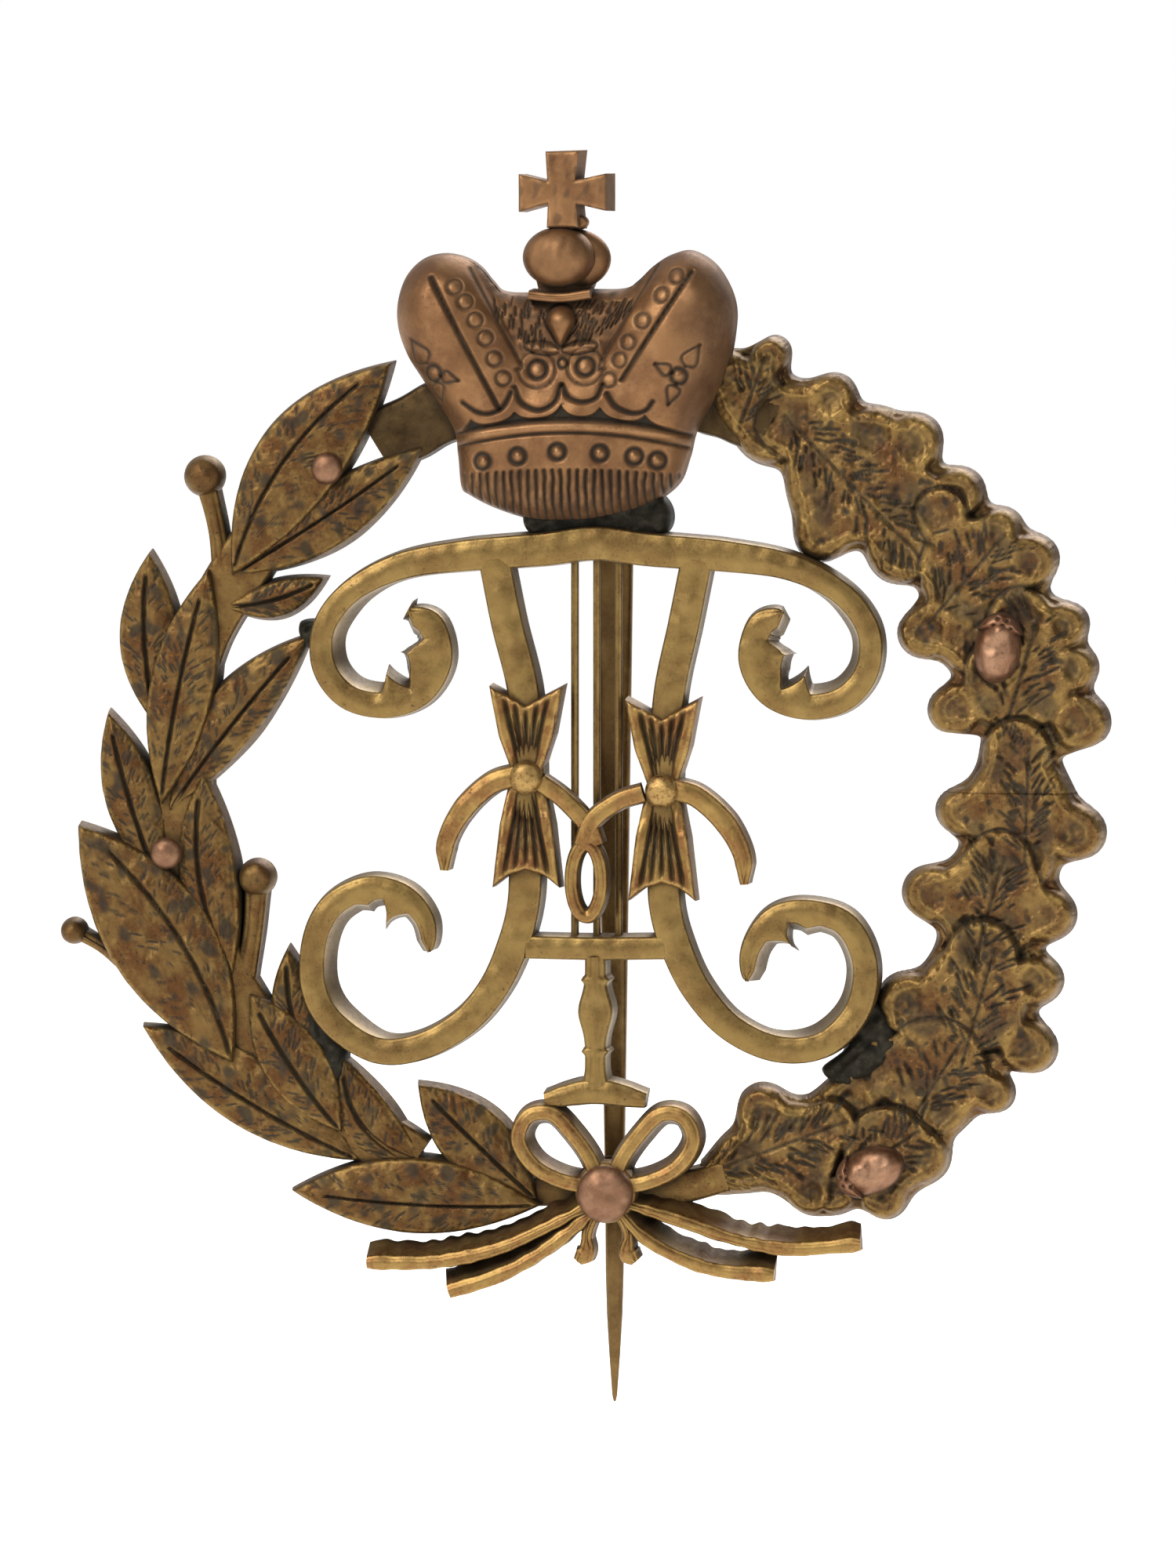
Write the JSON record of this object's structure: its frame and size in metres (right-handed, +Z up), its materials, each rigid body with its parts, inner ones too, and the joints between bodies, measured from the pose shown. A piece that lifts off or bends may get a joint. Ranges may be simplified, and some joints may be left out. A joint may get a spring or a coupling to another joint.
{
  "type": "cap badge",
  "caption": "Openwork cap badge: laurel and oak wreath with a ribbon tie, a relief crown above, a lyre inside, and a hinged vertical needle behind.",
  "frame": {"origin": "centre of the wreath's ring, in the plane of the branches' backs, which lies on the cap's cloth", "axes": "+X to the right seen from the front, +Y backwards into the cap, +Z up towards the crown; the badge stands upright, as it is worn, and its front faces -Y"},
  "size_m": [0.05, 0.0084, 0.0598],
  "materials": {
    "wreath_brass": "cast brass with aged brown patina, bright on the raised edges",
    "lyre_brass": "sawn brass plate, polished by handling, brown in the corners",
    "ribbon_brass": "cast brass with aged brown patina",
    "crown_bronze": "reddish cast bronze, hand engraved, dark patina in the cuts",
    "copper": "worn copper, rosy on the domes",
    "fitting_brass": "filed brass, dull brown",
    "needle_brass": "hard-drawn brass, smooth, brown patina",
    "solder": "soft solder, darkened"
  },
  "bodies": {
    "badge": {"acorn_lower_cup": "copper", "acorn_lower_nut": "copper", "acorn_upper_cup": "copper", "acorn_upper_nut": "copper", "bow_rivet_left": "lyre_brass", "bow_rivet_right": "lyre_brass", "bridge_bar": "fitting_brass", "crown_body": "crown_bronze", "crown_cross": "crown_bronze", "crown_orb": "crown_bronze", "hinge_axle": "fitting_brass", "hinge_bracket": "fitting_brass", "laurel_branch": "wreath_brass", "laurel_rivet_lower": "copper", "laurel_rivet_upper": "copper", "lyre_arm_left": "lyre_brass", "lyre_arm_right": "lyre_brass", "lyre_cross_bar": "lyre_brass", "lyre_post": "lyre_brass", "lyre_strings": "lyre_brass", "lyre_top_bar": "lyre_brass", "needle_catch": "fitting_brass", "oak_branch": "wreath_brass", "ribbon_bow_left": "ribbon_brass", "ribbon_bow_right": "ribbon_brass", "ribbon_loop": "ribbon_brass", "ribbon_tie": "ribbon_brass", "solder_crown": "solder", "solder_left": "solder", "solder_right": "solder", "solder_upper": "solder", "tie_rivet": "copper"},
    "needle": {"needle": "needle_brass"}
  },
  "joints": [
    {"name": "needle_hinge", "type": "hinge", "parent": "badge", "child": "needle", "pos_m": [0.0008, 0.0024, 0.019], "axis": [1, 0, 0], "range_deg": [0, 85]}
  ]
}
